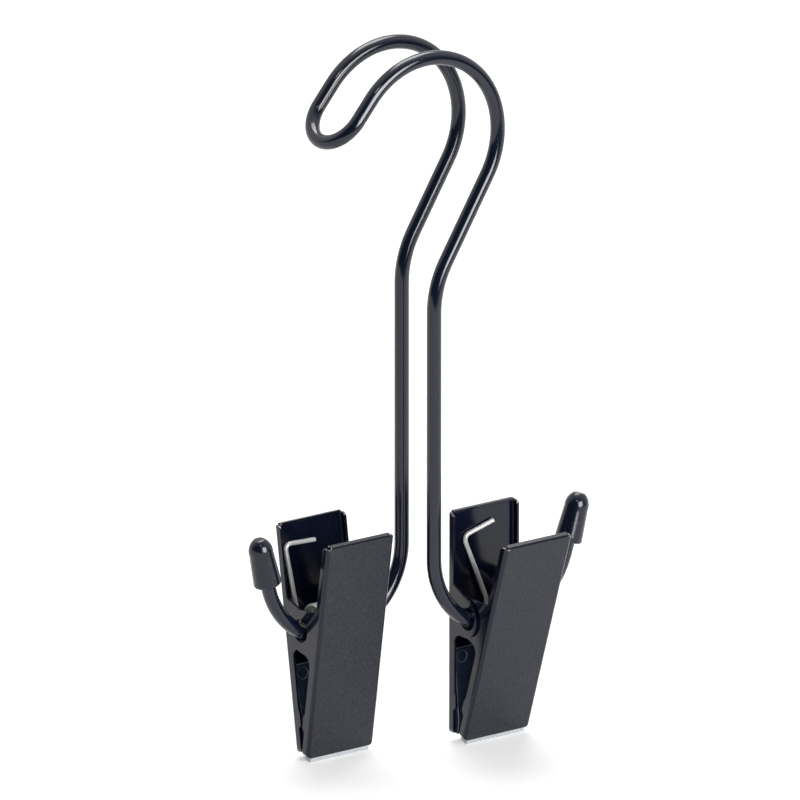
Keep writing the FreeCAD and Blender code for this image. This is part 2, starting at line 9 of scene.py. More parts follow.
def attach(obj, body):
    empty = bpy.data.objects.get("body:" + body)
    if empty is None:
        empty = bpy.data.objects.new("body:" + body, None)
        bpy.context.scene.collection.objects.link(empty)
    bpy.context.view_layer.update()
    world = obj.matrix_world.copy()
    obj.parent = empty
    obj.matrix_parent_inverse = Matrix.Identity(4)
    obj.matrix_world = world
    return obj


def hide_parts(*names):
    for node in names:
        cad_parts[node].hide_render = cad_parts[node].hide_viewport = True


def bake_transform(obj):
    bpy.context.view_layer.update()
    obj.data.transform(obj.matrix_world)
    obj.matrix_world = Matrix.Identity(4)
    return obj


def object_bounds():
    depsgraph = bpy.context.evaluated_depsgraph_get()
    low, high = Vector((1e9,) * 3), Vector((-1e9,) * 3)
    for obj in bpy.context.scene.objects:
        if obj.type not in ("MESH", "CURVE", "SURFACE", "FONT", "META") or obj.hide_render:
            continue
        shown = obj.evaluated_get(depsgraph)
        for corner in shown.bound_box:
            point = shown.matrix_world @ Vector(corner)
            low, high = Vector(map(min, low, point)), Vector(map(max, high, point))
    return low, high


bl_info = {
    "name": "Clip Hanger",
    "version": (1, 0, 0),
    "blender": (4, 5, 0),
    "location": "View3D > Sidebar > Hanger",
    "description": "Dresses a packed two-clip wire hanger and sets it on a white studio floor",
    "category": "Object",
}

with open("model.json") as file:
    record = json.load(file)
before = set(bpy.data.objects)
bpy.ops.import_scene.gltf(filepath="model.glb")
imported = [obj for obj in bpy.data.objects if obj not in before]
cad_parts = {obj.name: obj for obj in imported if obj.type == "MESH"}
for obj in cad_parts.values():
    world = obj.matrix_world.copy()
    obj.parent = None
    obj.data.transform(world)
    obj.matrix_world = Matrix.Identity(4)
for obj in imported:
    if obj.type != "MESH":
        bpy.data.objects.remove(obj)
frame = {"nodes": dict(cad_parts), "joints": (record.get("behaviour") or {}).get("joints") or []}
CAD_LOW, CAD_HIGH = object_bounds()
HINGES = {joint["name"]: Vector(joint["pos_m"]) for joint in frame["joints"]}

CLIPS = ("left", "right")
ENDS = (("rear", 1), ("front", -1))
X, Y, Z = Vector((1, 0, 0)), Vector((0, 1, 0)), Vector((0, 0, 1))
FULL_TURN = 2 * math.pi

# How finely round things are made.
WIRE_SIDES = 40
SPRING_SIDES = 20
CAP_SIDES = 64
COIL_STEPS_A_TURN = 60

# Corners of the CAD mesh nearer than this are one, and faces flatter than this to each other become one.
WELD_DISTANCE = 0.000002
FLAT_ANGLE = math.radians(0.8)
# Edges sharper than this are rounded.
SHARP_ANGLE = math.radians(35)

# What counts as a plate's outer face: how straight it looks out and how deep it may lie.
FACE_STRAIGHTNESS = 0.99
FACE_DEPTH = 0.0003
# The lip's corners, where lacquer chips: their greatest face, height and width.
CHIP_AREA = 0.0000006
CHIP_HEIGHT = 0.0017
CHIP_WIDTH = 0.0035

# Each lamp's place from what the camera looks at, its width, height and watts, and whether it lights things.
# The card doesn't: only mirrors show it.
LAMPS = {
    "front_softbox": ((0.10, -1.30, 0.34), 0.75, 0.80, 12.0, True),
    "front_card": ((0.10, -1.28, 0.34), 1.00, 0.80, 18.0, False),
    "top_softbox": ((0.33, 0.42, 1.15), 0.80, 0.80, 13.0, True),
    "dot_lamp": ((-0.50, -0.80, 1.00), 0.15, 0.15, 1.0, True),
}


class WireSettings(bpy.types.PropertyGroup):
    """The folded wire and its coating."""
    diameter: bpy.props.FloatProperty(
        name="Diameter", description="Thickness of the coated wire", default=0.0046, unit="LENGTH")
    strand_spacing: bpy.props.FloatProperty(
        name="Strand Spacing", description="Distance between the two strands",
        default=0.0208, unit="LENGTH")
    crook_radius: bpy.props.FloatProperty(
        name="Crook Radius", description="Radius of the big hook's centre line",
        default=0.0272, unit="LENGTH")
    nose_angle: bpy.props.FloatProperty(
        name="Nose Angle", description="Where the crook ends and the nose begins",
        default=math.radians(140), subtype="ANGLE")
    nose_length: bpy.props.FloatProperty(
        name="Nose Length", description="Straight run before the fold", default=0.0075, unit="LENGTH")
    slant_angle: bpy.props.FloatProperty(
        name="Slant", description="Slope of the neck under the crook",
        default=math.radians(31.5), subtype="ANGLE")
    rear_slant: bpy.props.FloatProperty(
        name="Rear Neck", description="Length of the rear strand's neck", default=0.0252, unit="LENGTH")
    front_slant: bpy.props.FloatProperty(
        name="Front Neck", description="Length of the front strand's neck", default=0.0300, unit="LENGTH")
    bend_radius: bpy.props.FloatProperty(
        name="Stem Bend", description="Radius between the neck and the stem", default=0.0304, unit="LENGTH")
    cradle_drop: bpy.props.FloatProperty(
        name="Drop", description="From the crook's centre to the cradles' centres",
        default=0.1361, unit="LENGTH")
    cradle_radius: bpy.props.FloatProperty(
        name="Cradle Radius", description="Radius of the bends that carry the clips",
        default=0.0257, unit="LENGTH")
    left_lean: bpy.props.FloatProperty(
        name="Left Lean", description="Outward lean of the left end",
        default=math.radians(13), subtype="ANGLE")
    right_lean: bpy.props.FloatProperty(
        name="Right Lean", description="Outward lean of the right end",
        default=math.radians(17), subtype="ANGLE")
    left_standoff: bpy.props.FloatProperty(
        name="Left Standoff", description="From the left cradle to its cap", default=0.0014, unit="LENGTH")
    right_standoff: bpy.props.FloatProperty(
        name="Right Standoff", description="From the right cradle to its cap",
        default=0.0038, unit="LENGTH")
    colour: bpy.props.FloatVectorProperty(
        name="Coating", description="Colour of the glossy coating",
        default=(0.004, 0.007, 0.020), subtype="COLOR")


class CapSettings(bpy.types.PropertyGroup):
    """The soft caps on the wire's ends."""
    length: bpy.props.FloatProperty(
        name="Length", description="From mouth to tip", default=0.0157, unit="LENGTH")
    mouth_radius: bpy.props.FloatProperty(
        name="Mouth Radius", description="Outer radius at the mouth", default=0.0044, unit="LENGTH")
    shoulder_radius: bpy.props.FloatProperty(
        name="Shoulder Radius", description="Radius where the dome begins", default=0.0038, unit="LENGTH")
    shoulder_height: bpy.props.FloatProperty(
        name="Shoulder Height", description="Height where the dome begins", default=0.0110, unit="LENGTH")
    dome_radius: bpy.props.FloatProperty(
        name="Dome Radius", description="Radius of the dome's section", default=0.0050, unit="LENGTH")
    tip_radius: bpy.props.FloatProperty(
        name="Tip Radius", description="Radius of the flat on top", default=0.0017, unit="LENGTH")
    mouth_round: bpy.props.FloatProperty(
        name="Mouth Round", description="Rounding of the mouth's edge", default=0.0007, unit="LENGTH")
    bore_depth: bpy.props.FloatProperty(
        name="Bore Depth", description="How deep the wire goes in", default=0.0124, unit="LENGTH")
    bore_clearance: bpy.props.FloatProperty(
        name="Bore Clearance", description="Room round the wire", default=0.00005, unit="LENGTH")
    end_gap: bpy.props.FloatProperty(
        name="End Gap", description="Room between the wire's end and the bore's",
        default=0.0003, unit="LENGTH")
    colour: bpy.props.FloatVectorProperty(
        name="Rubber", description="Colour of the soft plastic",
        default=(0.004, 0.007, 0.019), subtype="COLOR")


class PlateSettings(bpy.types.PropertyGroup):
    """The pressed plates and their lacquer."""
    lean: bpy.props.FloatProperty(
        name="Lean", description="Lean of each plate from its clip's middle plane",
        default=math.radians(9.1), subtype="ANGLE")
    right_swing: bpy.props.FloatProperty(
        name="Right Swing", description="How far the right clip is swung",
        default=math.radians(9.1), subtype="ANGLE")
    edge_round: bpy.props.FloatProperty(
        name="Edge Round", description="Rounding that the lacquer gives to the sheet's edges",
        default=0.00013, unit="LENGTH")
    colour: bpy.props.FloatVectorProperty(
        name="Lacquer", description="Colour of the lacquer", default=(0.003, 0.005, 0.018), subtype="COLOR")
    satin: bpy.props.FloatVectorProperty(
        name="Satin Face", description="Colour of the plates' outer faces",
        default=(0.004, 0.006, 0.016), subtype="COLOR")


class PadSettings(bpy.types.PropertyGroup):
    """The clear pads in the jaws."""
    edge_round: bpy.props.FloatProperty(
        name="Edge Round", description="Rounding of the moulded edges", default=0.00015, unit="LENGTH")
    lip_height: bpy.props.FloatProperty(
        name="Lip Height", description="Height of the ribbed lip below the steel",
        default=0.0017, unit="LENGTH")
    rib_pitch: bpy.props.FloatProperty(
        name="Rib Pitch", description="Distance between the lip's slanting ribs",
        default=0.0016, unit="LENGTH")
    # Partly the plastic's blue tint, partly painted shade: it is kept dark to stand for the shaded inside of
    # the jaws.
    colour: bpy.props.FloatVectorProperty(
        name="Plastic", description="Tint of the clear plastic",
        default=(0.06, 0.08, 0.15), subtype="COLOR")
    # Painted highlight: the rounded edges get a paler colour than the plastic, standing for light caught on
    # them.
    painted_edge_highlight: bpy.props.FloatVectorProperty(
        name="Edges", description="Tint of the rounded edges, where light gets out",
        default=(0.30, 0.36, 0.46), subtype="COLOR")
    # Painted light: the lip's near-white colour stands for light shining through the clear plastic below the
    # steel.
    painted_lip_light: bpy.props.FloatVectorProperty(
        name="Lip", description="Colour of the lip, where light gets in",
        default=(0.92, 0.95, 0.98), subtype="COLOR")


class SpringSettings(bpy.types.PropertyGroup):
    """The torsion springs."""
    wire: bpy.props.FloatProperty(
        name="Wire", description="Thickness of the spring wire", default=0.0015, unit="LENGTH")
    coil_radius: bpy.props.FloatProperty(
        name="Coil Radius", description="Radius of the coil's centre line",
        default=0.0068846, unit="LENGTH")
    pitch: bpy.props.FloatProperty(
        name="Pitch", description="Climb of one turn", default=0.0022, unit="LENGTH")
    turns: bpy.props.IntProperty(name="Turns", description="Whole turns of the coil", default=3, min=1)
    corner_radius: bpy.props.FloatProperty(
        name="Corner Radius", description="Bend where a leg turns along its plate",
        default=0.0020, unit="LENGTH")
    foot_rise: bpy.props.FloatProperty(
        name="Foot Rise", description="From the coil to where a leg is straight",
        default=0.0040, unit="LENGTH")
    end_length: bpy.props.FloatProperty(
        name="End Length", description="Length of a leg's end along its plate",
        default=0.0114, unit="LENGTH")
    wall: bpy.props.FloatProperty(
        name="Wall", description="From the hinge to a leg that lies on its plate",
        default=0.0086, unit="LENGTH")
    left_start: bpy.props.FloatProperty(
        name="Left Start", description="Where the left coil begins along the hinge",
        default=-0.0086, unit="LENGTH")
    right_start: bpy.props.FloatProperty(
        name="Right Start", description="Where the right coil begins along the hinge",
        default=-0.0008, unit="LENGTH")
    left_shift: bpy.props.FloatProperty(
        name="Left Shift", description="Sideways lean of the left legs", default=-0.0015, unit="LENGTH")
    right_shift: bpy.props.FloatProperty(
        name="Right Shift", description="Sideways lean of the right legs", default=-0.0075, unit="LENGTH")
    left_height: bpy.props.FloatProperty(
        name="Left Height", description="Height of the left legs' corners", default=0.02605, unit="LENGTH")
    right_height: bpy.props.FloatProperty(
        name="Right Height", description="Height of the right legs' corners",
        default=0.02395, unit="LENGTH")
    left_rise: bpy.props.FloatProperty(
        name="Left Rise", description="Rise of the left legs' ends", default=-0.0005, unit="LENGTH")
    right_rise: bpy.props.FloatProperty(
        name="Right Rise", description="Rise of the right legs' ends", default=0.0032, unit="LENGTH")
    colour: bpy.props.FloatVectorProperty(
        name="Zinc", description="Colour of the plating", default=(0.96, 0.96, 0.95), subtype="COLOR")


class StageSettings(bpy.types.PropertyGroup):
    """The floor, the light and the camera."""
    floor_colour: bpy.props.FloatVectorProperty(
        name="Floor", description="Colour of the studio floor", default=(0.82, 0.82, 0.82), subtype="COLOR")
    floor_size: bpy.props.FloatProperty(
        name="Floor Size", description="Width of the floor", default=12.0, unit="LENGTH")
    floor_front: bpy.props.FloatProperty(
        name="Floor Front", description="How far the floor comes forward", default=0.55, unit="LENGTH")
    floor_glow: bpy.props.FloatProperty(
        name="Floor Glow", description="What is added to the lit floor where it is seen", default=0.42)
    far_glow: bpy.props.FloatProperty(
        name="Far Glow", description="What is added to the floor far from the lamps", default=0.45)
    ambient: bpy.props.FloatProperty(
        name="Ambient", description="Strength of the light from all round", default=0.25)
    room: bpy.props.FloatProperty(
        name="Room", description="How bright the dark side of the studio is in reflections", default=0.05)
    azimuth: bpy.props.FloatProperty(
        name="Azimuth", description="Where the camera stands round the hanger",
        default=math.radians(-35.44), subtype="ANGLE")
    elevation: bpy.props.FloatProperty(
        name="Elevation", description="How far the camera looks down",
        default=math.radians(18.06), subtype="ANGLE")
    distance: bpy.props.FloatProperty(
        name="Distance", description="From the camera to what it looks at", default=5.487, unit="LENGTH")
    lens: bpy.props.FloatProperty(
        name="Focal Length", description="The camera's focal length in millimetres", default=792.1)
    target: bpy.props.FloatVectorProperty(
        name="Target", description="What the camera looks at",
        default=(0.01018, 0.01784, -0.1177), unit="LENGTH")


SETTINGS = {
    "hanger_wire": WireSettings,
    "hanger_cap": CapSettings,
    "hanger_plate": PlateSettings,
    "hanger_pad": PadSettings,
    "hanger_spring": SpringSettings,
    "hanger_stage": StageSettings,
}


class Socket:
    """An output of a shader node. Sums on it add Math nodes to its tree."""

    def __init__(self, nodes, socket):
        self.nodes = nodes
        self.socket = socket

    def sum(self, operation, *values):
        return self.nodes.add("ShaderNodeMath", {"operation": operation}, dict(enumerate(values)))

    def __add__(self, other):
        return self.sum("ADD", self, other)

    def __radd__(self, other):
        return self.sum("ADD", other, self)

    def __sub__(self, other):
        return self.sum("SUBTRACT", self, other)

    def __rsub__(self, other):
        return self.sum("SUBTRACT", other, self)

    def __mul__(self, other):
        return self.sum("MULTIPLY", self, other)

    def __rmul__(self, other):
        return self.sum("MULTIPLY", other, self)

    def highest(self, other):
        return self.sum("MAXIMUM", self, other)

    def step(self, low, high):
        """0 below the low value, 1 above the high one and smooth between them."""
        settings = {"interpolation_type": "SMOOTHSTEP"}
        sockets = {"Value": self, "From Min": low, "From Max": high}
        return self.nodes.add("ShaderNodeMapRange", settings, sockets)


class Nodes:
    """A shader tree that is filled node by node."""

    def __init__(self, owner):
        owner.use_nodes = True
        self.tree = owner.node_tree
        self.tree.nodes.clear()

    def add(self, kind, settings=None, sockets=None, output=0):
        """Makes a node, sets it up, fills or links its sockets and returns one of its outputs."""
        node = self.tree.nodes.new(kind)
        for name, value in (settings or {}).items():
            setattr(node, name, value)
        for name, value in (sockets or {}).items():
            if isinstance(value, Socket):
                self.tree.links.new(value.socket, node.inputs[name])
            else:
                node.inputs[name].default_value = value
        return Socket(self, node.outputs[output]) if node.outputs else node

    def place(self, stretch=(1, 1, 1)):
        """Object coordinates, stretched along each axis."""
        coords = self.add("ShaderNodeTexCoord", output="Object")
        return self.add("ShaderNodeMapping", None, {"Vector": coords, "Scale": stretch})

    def noise(self, scale, detail=2.0, rough=0.5, vector=None):
        sockets = {"Vector": vector or self.place(), "Scale": scale, "Detail": detail, "Roughness": rough}
        return self.add("ShaderNodeTexNoise", None, sockets)

    def attribute(self, name):
        return self.add("ShaderNodeAttribute", {"attribute_name": name}, output="Fac")

    def mix(self, share, first, second):
        """A colour between two others. The node's colours are its sockets 6 and 7, and its output 2."""
        return self.add("ShaderNodeMix", {"data_type": "RGBA"}, {0: share, 6: first, 7: second}, output=2)

    def bump(self, height, strength, distance):
        sockets = {"Height": height, "Strength": strength, "Distance": distance}
        return self.add("ShaderNodeBump", None, sockets)

    def surface(self, shader, kind="ShaderNodeOutputMaterial"):
        self.add(kind, None, {"Surface": shader})


def opaque(colour):
    return (*colour, 1.0)


def black_wire_finish(colour):
    """Glossy black coating with a slight orange peel, faint dull patches and a few specks of dust."""
    material = bpy.data.materials.new("black_wire_coating")
    nodes = Nodes(material)
    dust = nodes.noise(2300, 1.0).step(0.765, 0.80)
    dull = nodes.noise(90, 3.0)
    base = nodes.mix(dust * 0.5, opaque(colour), (0.35, 0.35, 0.36, 1))
    peel = nodes.noise(520, 2.0)
    nodes.surface(nodes.add("ShaderNodeBsdfPrincipled", None, {
        "Base Color": base,
        "Roughness": 0.10 + dull * 0.07 + dust * 0.3,
        "Normal": nodes.bump(peel, 0.006, 0.0001),
        "IOR": 1.52,
    }))
    return material


def cap_rubber_finish(colour):
    """Soft black plastic: satin, finely mottled, with a few faint scuffs that run round it."""
    material = bpy.data.materials.new("cap_soft_plastic")
    nodes = Nodes(material)
    mottle = nodes.noise(1500, 3.0)
    scuffs = nodes.noise(1, 2.0, 0.6, nodes.place((120, 120, 2600))).step(0.66, 0.76)
    base = nodes.mix(scuffs * 0.3, opaque(colour), (0.10, 0.10, 0.105, 1))
    nodes.surface(nodes.add("ShaderNodeBsdfPrincipled", None, {
        "Base Color": base,
        "Roughness": 0.13 + mottle * 0.10 + scuffs * 0.12,
        "Normal": nodes.bump(mottle, 0.12, 0.00006),
        "IOR": 1.47,
    }))
    return material


def black_plate_finish(colour, satin):
    """Black lacquer: glossy on the folds and inside, satin with a fine grain on the outer faces."""
    material = bpy.data.materials.new("black_plate_lacquer")
    nodes = Nodes(material)
    face = nodes.attribute("outer_face")
    grain = nodes.noise(2300, 3.0, 0.6)
    patches = nodes.noise(70, 3.0)
    dust = nodes.noise(1700, 1.0).step(0.76, 0.80)
    chips = nodes.attribute("lip_corner") * nodes.noise(1400, 2.0).step(0.52, 0.60)
    shade = nodes.mix(face, opaque(colour), opaque(satin))
    shade = nodes.mix(face * grain.step(0.40, 0.70), shade, (0.028, 0.030, 0.038, 1))
    shade = nodes.mix(dust * 0.25, shade, (0.25, 0.25, 0.26, 1))
    shade = nodes.mix(chips, shade, (0.75, 0.73, 0.68, 1))
    gloss = 0.10 + patches * 0.06
    satin_roughness = face * (0.26 + grain * 0.12 + patches * 0.08)
    nodes.surface(nodes.add("ShaderNodeBsdfPrincipled", None, {
        "Base Color": shade,
        "Roughness": gloss + satin_roughness,
        "Normal": nodes.bump(grain * (0.06 + face * 0.94), 0.10, 0.00003),
        "IOR": 1.43,
    }))
    return material


def zinc_spring_finish(colour):
    """Bright zinc on drawn wire, with fine lines along it."""
    material = bpy.data.materials.new("zinc_spring_plating")
    nodes = Nodes(material)
    along, around = nodes.attribute("along"), nodes.attribute("around")
    turn = around * FULL_TURN
    line_place = nodes.add("ShaderNodeCombineXYZ", None, {
        "X": along * 90, "Y": turn.sum("COSINE", turn) * 4, "Z": turn.sum("SINE", turn) * 4})
    lines = nodes.noise(1.0, 3.0, 0.6, line_place)
    cloud = nodes.noise(380, 2.0)
    base = nodes.mix(lines.step(0.40, 0.65), opaque([part * 0.72 for part in colour]), opaque(colour))
    nodes.surface(nodes.add("ShaderNodeBsdfPrincipled", None, {
        "Base Color": base,
        "Metallic": 0.2,
        "Roughness": 0.12 + lines * 0.12 + cloud * 0.06,
        "Normal": nodes.bump(lines, 0.25, 0.00004),
    }))
    return material


def clear_pad_finish(name, colour, pad):
    """Clear, slightly blue soft plastic, a little cloudy, with a lip painted near-white as light shining
    through it, and slanting ribs on that lip.
    """
    material = bpy.data.materials.new(name)
    nodes = Nodes(material)
    lip = nodes.attribute("pad_lip")
    cloud = nodes.noise(240, 3.0)
    ripple = nodes.noise(700, 2.0)
    place = nodes.place()
    across = nodes.add("ShaderNodeSeparateXYZ", None, {"Vector": place}, output="X")
    up = nodes.add("ShaderNodeSeparateXYZ", None, {"Vector": place}, output="Z")
    ribs = (across + up) * (FULL_TURN / pad.rib_pitch)
    ribs = ribs.sum("SINE", ribs)
    # The colour passed in is the pad body's dark tint, partly painted shade, or the edges' paler painted
    # highlight.
    base = nodes.mix(cloud.step(0.35, 0.7), opaque(colour), opaque([part * 0.8 for part in colour]))
    # Painted light: the lip faces get a near-white colour, with a faint rib pattern, in place of light
    # passing through them.
    base = nodes.mix(lip * (0.95 + ribs * 0.05), base, opaque(pad.painted_lip_light))
    nodes.surface(nodes.add("ShaderNodeBsdfPrincipled", None, {
        "Base Color": base,
        "Roughness": 0.06 + cloud * 0.10,
        "Normal": nodes.bump(ripple + lip * ribs * 0.4, 0.06, 0.00008),
        "IOR": 1.46,
        "Transmission Weight": 0.25,
    }))
    return material


class Track:
    """A line that goes straight and turns, kept as points."""

    STEP = math.radians(3)

    def __init__(self, place, way):
        self.points = [place.copy()]
        self.way = way.normalized()

    def ahead(self, length):
        self.points.append(self.points[-1] + self.way * length)

    def turn(self, axis, radius, angle):
        """Turns against the clock about an axis, on an arc."""
        start = self.points[-1]
        centre = start + axis.cross(self.way) * radius
        count = math.ceil(angle / self.STEP)
        for number in range(1, count + 1):
            part = Quaternion(axis, angle * number / count)
            self.points.append(centre + part @ (start - centre))
        self.way = Quaternion(axis, angle) @ self.way


def arc(one, arm, other, count=10):
    """Points of the arc between two points whose tangents meet at the arm's end, without the first one."""
    weight = (other - one).length / 2 / (arm - one).length
    points = []
    for number in range(1, count + 1):
        t = number / count
        shares = (1 - t) ** 2, 2 * weight * t * (1 - t), t ** 2
        points.append((one * shares[0] + arm * shares[1] + other * shares[2]) / sum(shares))
    return points


def biarc(start, start_way, finish, finish_way):
    """Points of two arcs that join two points and keep the direction at each, without the first point."""
    chord, ways = finish - start, start_way + finish_way
    spread = 2 * (1 - start_way.dot(finish_way))
    reach = (math.sqrt(chord.dot(ways) ** 2 + spread * chord.dot(chord)) - chord.dot(ways)) / spread
    start_arm, finish_arm = start + start_way * reach, finish - finish_way * reach
    joint = (start_arm + finish_arm) / 2
    return arc(start, start_arm, joint) + arc(joint, finish_arm, finish)


def rod_tree():
    """A node tree that turns a curve into a round rod, with attributes that run along it and around it."""
    tree = bpy.data.node_groups.new("rod_along_path", "GeometryNodeTree")
    tree.interface.new_socket("Geometry", in_out="INPUT", socket_type="NodeSocketGeometry")
    sockets = {}
    for name, kind in (("Radius", "Float"), ("Sides", "Int"), ("Finish", "Material")):
        made_socket = tree.interface.new_socket(name, in_out="INPUT", socket_type=f"NodeSocket{kind}")
        sockets[name] = made_socket.identifier
    tree.interface.new_socket("Geometry", in_out="OUTPUT", socket_type="NodeSocketGeometry")
    made = {}

    def node(kind, **settings):
        new = tree.nodes.new(kind)
        for name, value in settings.items():
            setattr(new, name, value)
        return new

    def link(first, output, second, socket):
        tree.links.new(first.outputs[output], second.inputs[socket])

    source, result = node("NodeGroupInput"), node("NodeGroupOutput")
    for name, measure in (("along", "Length"), ("around", "Factor")):
        parameter = node("GeometryNodeSplineParameter")
        made[name] = node("GeometryNodeStoreNamedAttribute", data_type="FLOAT", domain="POINT")
        made[name].inputs["Name"].default_value = name
        link(parameter, measure, made[name], "Value")
    ring = node("GeometryNodeCurvePrimitiveCircle")
    link(source, "Sides", ring, "Resolution")
    link(source, "Radius", ring, "Radius")
    rod = node("GeometryNodeCurveToMesh")
    rod.inputs["Fill Caps"].default_value = True
    link(source, "Geometry", made["along"], "Geometry")
    link(ring, "Curve", made["around"], "Geometry")
    link(made["along"], "Geometry", rod, "Curve")
    link(made["around"], "Geometry", rod, "Profile Curve")
    plain = node("GeometryNodeRealizeInstances")
    link(rod, "Mesh", plain, "Geometry")
    painted = node("GeometryNodeSetMaterial")
    link(plain, "Geometry", painted, "Geometry")
    link(source, "Finish", painted, "Material")
    link(painted, "Geometry", result, "Geometry")
    return tree, sockets


def new_object(name, mesh):
    piece = bpy.data.objects.new(name, mesh)
    bpy.context.scene.collection.objects.link(piece)
    return piece


def plain_mesh(piece):
    """The object's mesh with its modifiers applied."""
    graph = bpy.context.evaluated_depsgraph_get()
    finished = piece.evaluated_get(graph)
    return bpy.data.meshes.new_from_object(finished, preserve_all_data_layers=True, depsgraph=graph)


def shade_smooth(mesh, angle=30):
    mesh.shade_smooth()
    mesh.set_sharp_from_angle(angle=math.radians(angle))


def rod(name, points, radius, sides, finish):
    """A round rod along points, made by the rod tree and turned to a plain mesh."""
    line = bpy.data.curves.new(f"{name}_line", "CURVE")
    line.dimensions = "3D"
    spline = line.splines.new("POLY")
    spline.points.add(len(points) - 1)
    for point, place in zip(spline.points, points):
        point.co = (*place, 1)
    path = new_object(f"{name}_path", line)
    tree, sockets = rod_tree()
    modifier = path.modifiers.new("rod", "NODES")
    modifier.node_group = tree
    for socket, value in (("Radius", radius), ("Sides", sides), ("Finish", finish)):
        modifier[sockets[socket]] = value
    mesh = plain_mesh(path)
    bpy.data.objects.remove(path)
    bpy.data.node_groups.remove(tree)
    shade_smooth(mesh, 50)
    mesh.name = name
    return new_object(name, mesh)


def settle(piece, body, slot, *nodes):
    """Sets a finished piece on its body in place of CAD nodes."""
    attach(piece, body)
    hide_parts(*nodes)


def wire_line(wire, tails):
    """The wire's centre line from its left end to its right one."""
    half = wire.strand_spacing / 2
    crook_height = wire.diameter / 2 - wire.crook_radius
    nose_way = Vector((-math.sin(wire.nose_angle), 0, math.cos(wire.nose_angle)))
    nose_place = Vector((math.cos(wire.nose_angle), 0, math.sin(wire.nose_angle))) * wire.crook_radius
    nose_place += Z * crook_height + nose_way * wire.nose_length
    strands = {}
    for clip, y, neck, lean, axis in (("left", half, wire.rear_slant, wire.left_lean, Y),
                                      ("right", -half, wire.front_slant, wire.right_lean, -Y)):
        track = Track(nose_place + Y * y, -nose_way)
        track.ahead(wire.nose_length)
        track.turn(Y, wire.crook_radius, wire.nose_angle + wire.slant_angle)
        track.ahead(neck)
        track.turn(-Y, wire.bend_radius, wire.slant_angle)
        track.ahead(track.points[-1].z - (crook_height - wire.cradle_drop))
        track.turn(axis, wire.cradle_radius, math.pi - lean)
        cradle_end = track.points[-1].copy()
        track.ahead(tails[clip])
        strands[clip] = track.points, cradle_end, track.way
    nose = Track(nose_place + Y * half, nose_way)
    nose.turn(nose_way.cross(-Y), half, math.pi)
    points = strands["left"][0][::-1] + nose.points[1:-1] + strands["right"][0]
    return points, {clip: strand[1:] for clip, strand in strands.items()}


def wire_tails(scene):
    cap = scene.hanger_cap
    wire = scene.hanger_wire
    inside = cap.bore_depth - cap.end_gap
    return {"left": wire.left_standoff + inside, "right": wire.right_standoff + inside}


class HANGER_OT_wire(bpy.types.Operator):
    """Makes the folded wire with its hook and its two cradles"""
    bl_idname = "hanger.wire"
    bl_label = "Folded Wire"

    def execute(self, context):
        wire = context.scene.hanger_wire
        points, _ = wire_line(wire, wire_tails(context.scene))
        piece = rod("folded_wire", points, wire.diameter / 2, WIRE_SIDES, black_wire_finish(wire.colour))
        settle(piece, "hook", "black_wire", "hook_wire")
        return {"FINISHED"}


def cap_outline(cap, bore):
    """The cap's section as pairs of radius and height: its outside from the mouth up, and its bore."""
    points = [(bore, 0)]
    for number in range(7):
        angle = math.radians(-90 + 15 * number)
        points.append((cap.mouth_radius - cap.mouth_round + cap.mouth_round * math.cos(angle),
                       cap.mouth_round + cap.mouth_round * math.sin(angle)))
    for number in range(1, 8):
        share = number / 8
        points.append((cap.mouth_radius + (cap.shoulder_radius - cap.mouth_radius) * share,
                       cap.mouth_round + (cap.shoulder_height - cap.mouth_round) * share))
    shoulder = Vector((cap.shoulder_radius, cap.shoulder_height))
    tip = Vector((cap.tip_radius, cap.length))
    chord = tip - shoulder
    sink = math.sqrt(cap.dome_radius ** 2 - chord.length_squared / 4)
    centre = (shoulder + tip) / 2 - Vector((chord.y, -chord.x)).normalized() * sink
    start, finish = ((spot - centre) for spot in (shoulder, tip))
    first, last = math.atan2(start.y, start.x), math.atan2(finish.y, finish.x)
    for number in range(13):
        angle = first + (last - first) * number / 12
        points.append((centre.x + cap.dome_radius * math.cos(angle),
                       centre.y + cap.dome_radius * math.sin(angle)))
    points += [(cap.tip_radius * 0.55, cap.length), (0, cap.length)]
    return points, [(0, cap.bore_depth), (bore, cap.bore_depth)]


def lathe(name, outline, place, way, sides):
    """A closed turned piece: an outline of radius and height, spun about an axis."""
    shape = bmesh.new()
    rings = []
    for radius, height in outline:
        if radius == 0:
            rings.append([shape.verts.new((0, 0, height))] * sides)
            continue
        angles = [FULL_TURN * number / sides for number in range(sides)]
        rings.append([shape.verts.new((radius * math.cos(a), radius * math.sin(a), height)) for a in angles])
    for lower, upper in zip(rings, rings[1:] + rings[:1]):
        for number in range(sides):
            following = (number + 1) % sides
            corners = [lower[number], lower[following], upper[following], upper[number]]
            corners = list(dict.fromkeys(corners))
            if len(corners) > 2:
                shape.faces.new(corners)
    bmesh.ops.recalc_face_normals(shape, faces=shape.faces)
    mesh = bpy.data.meshes.new(name)
    shape.transform(Matrix.Translation(place) @ way.to_track_quat("Z", "Y").to_matrix().to_4x4())
    shape.to_mesh(mesh)
    shape.free()
    return mesh


class HANGER_OT_caps(bpy.types.Operator):
    """Makes the soft caps on the wire's two ends"""
    bl_idname = "hanger.caps"
    bl_label = "End Caps"

    def execute(self, context):
        cap, wire = context.scene.hanger_cap, context.scene.hanger_wire
        _, ends = wire_line(wire, wire_tails(context.scene))
        finish = cap_rubber_finish(cap.colour)
        for clip, standoff in (("left", wire.left_standoff), ("right", wire.right_standoff)):
            cradle_end, way = ends[clip]
            outside, inside = cap_outline(cap, wire.diameter / 2 + cap.bore_clearance)
            mesh = lathe(f"{clip}_soft_cap", outside + inside, cradle_end + way * standoff, way, CAP_SIDES)
            shade_smooth(mesh, 40)
            mesh.materials.append(finish)
            settle(new_object(f"{clip}_soft_cap", mesh), "hook", "cap_rubber", f"{clip}_end_cap")
        return {"FINISHED"}


